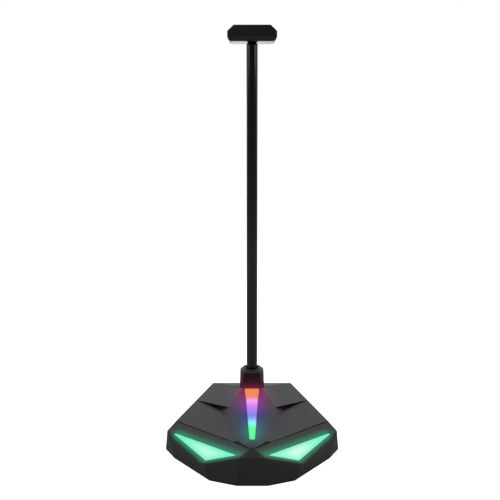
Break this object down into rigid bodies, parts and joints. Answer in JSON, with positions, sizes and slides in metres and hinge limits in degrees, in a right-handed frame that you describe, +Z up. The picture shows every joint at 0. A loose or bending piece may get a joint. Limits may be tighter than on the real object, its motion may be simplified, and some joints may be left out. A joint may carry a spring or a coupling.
{
  "type": "headphone stand",
  "caption": "Desk headphone stand: a faceted lighted base with rear sockets, a slim post in an octagonal collar and a saddle cradle.",
  "frame": {"origin": "bottom centre of the bounding box, on the desk", "axes": "+Z up along the post, -Y towards the viewer at the nose, +X to the viewer's right"},
  "size_m": [0.1172, 0.1204, 0.2815],
  "materials": {
    "shell": "satin moulded, fine grain",
    "cover": "matt moulded",
    "collar": "satin black",
    "post": "semi-gloss black",
    "cradle": "satin moulded",
    "pad": "soft matt",
    "feet": "matt",
    "ballast": "phosphated",
    "fastener": "zinc plated",
    "blade_lens": "frosted, lit in bands of colour",
    "eye_lens": "frosted, lit mint green",
    "board": "solder mask",
    "chip": "moulded epoxy",
    "lamp": "clear resin over white",
    "socket": "tin plated",
    "tongue": "moulded",
    "jack": "moulded",
    "jack_nut": "polished",
    "button": "satin",
    "plunger": "moulded",
    "lead": "flexible ribbon"
  },
  "bodies": {
    "stand": {"top_shell": "shell", "bottom_cover": "cover", "ballast_plate": "ballast", "ballast_screws": "fastener", "housing_screws": "fastener", "rubber_feet": "feet", "collar": "collar", "post": "post", "stud_washer": "fastener", "stud_nut": "fastener", "cradle": "cradle", "cradle_screw": "fastener", "cradle_pad": "pad", "blade_lens": "blade_lens", "blade_light_board": "board", "blade_lamps": "lamp", "eye_lens_left": "eye_lens", "eye_lens_right": "eye_lens", "eye_light_board_left": "board", "eye_light_board_right": "board", "eye_lamps_left": "lamp", "eye_lamps_right": "lamp", "eye_lead_left": "lead", "eye_lead_right": "lead", "main_board": "board", "board_parts": "chip", "board_screws": "fastener", "usb_shell_left": "socket", "usb_shell_right": "socket", "usb_tongue_left": "tongue", "usb_tongue_right": "tongue", "power_inlet": "socket", "power_tongue": "tongue", "audio_jack": "jack", "jack_nut": "jack_nut", "tact_switch": "tongue", "switch_board": "board"},
    "mode_button": {"mode_button": "button", "switch_plunger": "plunger"}
  },
  "joints": [
    {"name": "mode_button_press", "type": "slide", "parent": "stand", "child": "mode_button", "axis": [-0.9061, -0.423, 0], "range_m": [0, 0.0005], "stiffness_N_per_m": 2000, "springref_m": -0.0002}
  ]
}
